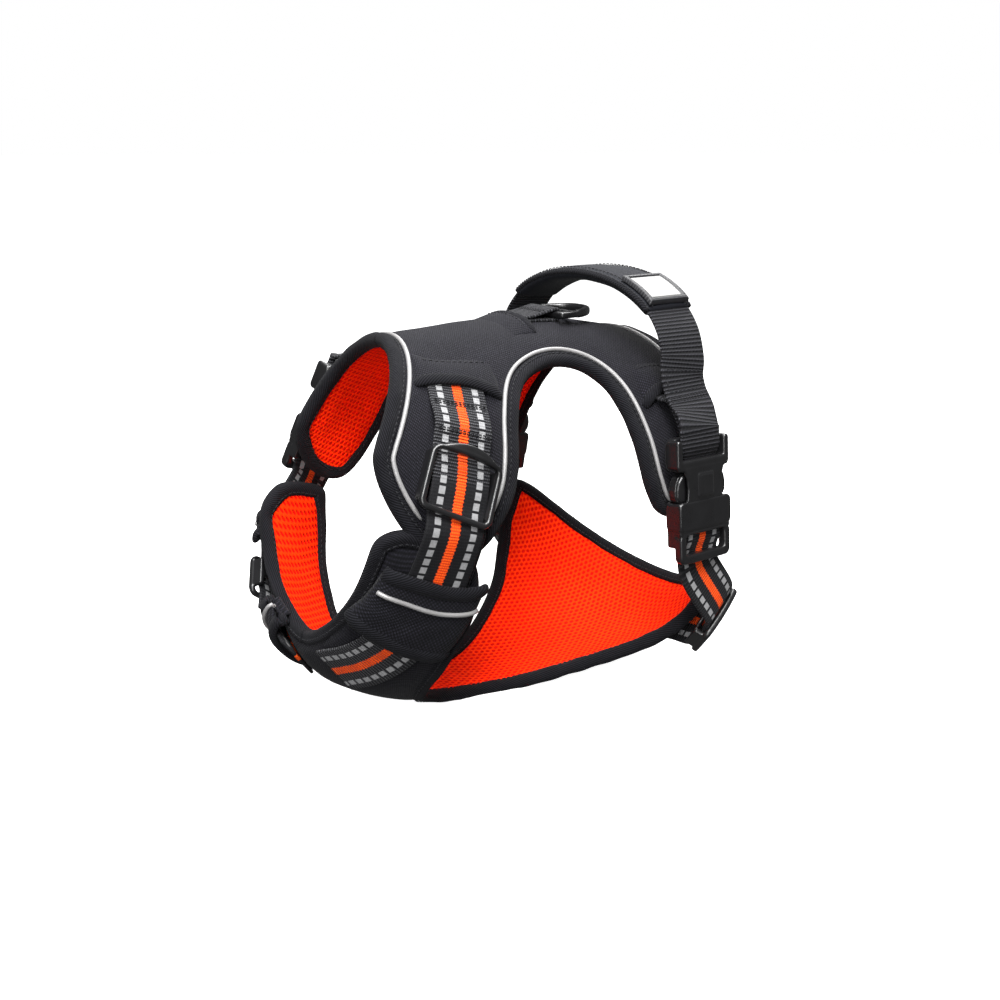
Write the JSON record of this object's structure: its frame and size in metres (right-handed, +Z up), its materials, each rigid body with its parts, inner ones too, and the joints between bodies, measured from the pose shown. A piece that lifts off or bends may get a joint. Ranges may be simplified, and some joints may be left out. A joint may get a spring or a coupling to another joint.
{
  "type": "no pull dog harness",
  "caption": "Padded no-pull dog harness with back and chest panels, adjustable striped straps, side-release buckles, top handle and leash ring.",
  "frame": {"origin": "middle of the footprint, on the ground plane", "axes": "+Z up, -Y towards the dog's head, +X towards the dog's left side"},
  "size_m": [0.2158, 0.2684, 0.2498],
  "materials": {
    "shell_twill": "fine black twill",
    "orange_mesh": "bright orange spacer mesh with hexagonal holes",
    "binding_tape": "black twill tape folded over the edge",
    "reflective_piping": "silver-grey reflective cord",
    "striped_webbing": "black ribbed webbing, orange middle stripe, two dashed light grey lines",
    "ribbed_webbing": "black ribbed webbing",
    "narrow_webbing": "black ribbed webbing, narrow",
    "cover_fabric": "black twill with a bound edge",
    "keeper_fabric": "black woven sleeve with bound ends",
    "grip_fabric": "smooth padded cover",
    "buckle_plastic": "moulded black, slightly glossy",
    "slider_plastic": "moulded black, glossy",
    "ring_plastic": "moulded black, satin",
    "patch_rubber": "moulded black",
    "patch_face": "pale grey, plain"
  },
  "bodies": {
    "vest": {"back_panel_shell": "shell_twill", "back_panel_lining": "orange_mesh", "back_panel_binding": "binding_tape", "chest_plate_shell": "shell_twill", "chest_plate_lining": "orange_mesh", "chest_plate_binding": "binding_tape", "neck_piping": "reflective_piping", "rear_piping": "reflective_piping", "leg_piping_near": "reflective_piping", "leg_piping_far": "reflective_piping", "shoulder_strap_near": "striped_webbing", "neck_buckle_male": "buckle_plastic", "neck_buckle_female": "buckle_plastic", "shoulder_strap_far": "striped_webbing", "chest_strap_far": "striped_webbing", "strap_cover_near": "cover_fabric", "strap_cover_far": "cover_fabric", "girth_cover_near": "cover_fabric", "girth_cover_far": "cover_fabric", "keeper_near": "keeper_fabric", "keeper_near_piping": "reflective_piping", "keeper_far_upper": "keeper_fabric", "keeper_far_upper_piping": "reflective_piping", "keeper_far_lower": "keeper_fabric", "keeper_far_lower_piping": "reflective_piping", "girth_buckle_near_male": "buckle_plastic", "girth_buckle_near_female": "buckle_plastic", "handle_strap_near": "ribbed_webbing", "girth_anchor_near": "ribbed_webbing", "girth_strap_near": "striped_webbing", "girth_buckle_far_male": "buckle_plastic", "girth_buckle_far_female": "buckle_plastic", "handle_strap_far": "ribbed_webbing", "girth_anchor_far": "ribbed_webbing", "girth_strap_far": "striped_webbing", "ring_loop": "narrow_webbing", "ring_tunnel": "cover_fabric"},
    "handle": {"handle_leg_near": "ribbed_webbing", "handle_leg_far": "ribbed_webbing", "handle_grip": "grip_fabric", "handle_patch": "patch_rubber", "handle_patch_panel": "patch_face"},
    "ring": {"leash_ring": "ring_plastic"},
    "neck_buckle_prong_a": {"neck_buckle_prong_a": "buckle_plastic"},
    "neck_buckle_prong_b": {"neck_buckle_prong_b": "buckle_plastic"},
    "girth_buckle_near_prong_a": {"girth_buckle_near_prong_a": "buckle_plastic"},
    "girth_buckle_near_prong_b": {"girth_buckle_near_prong_b": "buckle_plastic"},
    "girth_buckle_far_prong_a": {"girth_buckle_far_prong_a": "buckle_plastic"},
    "girth_buckle_far_prong_b": {"girth_buckle_far_prong_b": "buckle_plastic"},
    "shoulder_slider_near": {"shoulder_slider_near": "slider_plastic"},
    "chest_slider_far": {"chest_slider_far": "slider_plastic"},
    "girth_slider_near": {"girth_slider_near": "slider_plastic"},
    "girth_slider_far": {"girth_slider_far": "slider_plastic"}
  },
  "joints": [
    {"name": "handle_tilt", "type": "hinge", "parent": "vest", "child": "handle", "pos_m": [-0.0006, 0.0889, 0.183], "axis": [1, 0, 0], "range_deg": [-20, 20]},
    {"name": "leash_ring_swing", "type": "hinge", "parent": "vest", "child": "ring", "pos_m": [-0.0006, 0.0494, 0.224], "axis": [1, 0, 0], "range_deg": [0, 110]},
    {"name": "neck_buckle_prong_a_pinch", "type": "hinge", "parent": "vest", "child": "neck_buckle_prong_a", "pos_m": [-0.0774, -0.0602, 0.1759], "axis": [-0.9443, -0.1357, 0.2999], "range_deg": [-6, 0], "stiffness_Nm_per_rad": 0.05},
    {"name": "neck_buckle_prong_b_pinch", "type": "hinge", "parent": "vest", "child": "neck_buckle_prong_b", "pos_m": [-0.0833, -0.0341, 0.1692], "axis": [-0.9443, -0.1357, 0.2999], "range_deg": [0, 6], "stiffness_Nm_per_rad": 0.05},
    {"name": "girth_buckle_near_prong_a_pinch", "type": "hinge", "parent": "vest", "child": "girth_buckle_near_prong_a", "pos_m": [0.0918, 0.1036, 0.1403], "axis": [0.9917, 0.0599, 0.1141], "range_deg": [-6, 0], "stiffness_Nm_per_rad": 0.05},
    {"name": "girth_buckle_near_prong_b_pinch", "type": "hinge", "parent": "vest", "child": "girth_buckle_near_prong_b", "pos_m": [0.0933, 0.076, 0.1412], "axis": [0.9917, 0.0599, 0.1141], "range_deg": [0, 6], "stiffness_Nm_per_rad": 0.05},
    {"name": "girth_buckle_far_prong_a_pinch", "type": "hinge", "parent": "vest", "child": "girth_buckle_far_prong_a", "pos_m": [-0.0931, 0.0719, 0.146], "axis": [-0.9761, 0.1694, 0.1361], "range_deg": [-6, 0], "stiffness_Nm_per_rad": 0.05},
    {"name": "girth_buckle_far_prong_b_pinch", "type": "hinge", "parent": "vest", "child": "girth_buckle_far_prong_b", "pos_m": [-0.0887, 0.0991, 0.1439], "axis": [-0.9761, 0.1694, 0.1361], "range_deg": [0, 6], "stiffness_Nm_per_rad": 0.05},
    {"name": "shoulder_slider_near_adjust", "type": "slide", "parent": "vest", "child": "shoulder_slider_near", "axis": [-0.3304, 0.3427, 0.8794], "range_m": [-0.007, 0.007]},
    {"name": "chest_slider_far_adjust", "type": "slide", "parent": "vest", "child": "chest_slider_far", "axis": [-0.6152, 0.3835, 0.6888], "range_m": [-0.003, 0.003]},
    {"name": "girth_slider_near_adjust", "type": "slide", "parent": "vest", "child": "girth_slider_near", "axis": [0.6568, -0.207, 0.7251], "range_m": [0, 0.003]},
    {"name": "girth_slider_far_adjust", "type": "slide", "parent": "vest", "child": "girth_slider_far", "axis": [-0.7165, -0.1973, 0.6691], "range_m": [-0.003, 0.003]}
  ],
  "couplings": [
    {"joint": "neck_buckle_prong_b_pinch", "follows": "neck_buckle_prong_a_pinch", "ratio": -1},
    {"joint": "girth_buckle_near_prong_b_pinch", "follows": "girth_buckle_near_prong_a_pinch", "ratio": -1},
    {"joint": "girth_buckle_far_prong_b_pinch", "follows": "girth_buckle_far_prong_a_pinch", "ratio": -1}
  ]
}
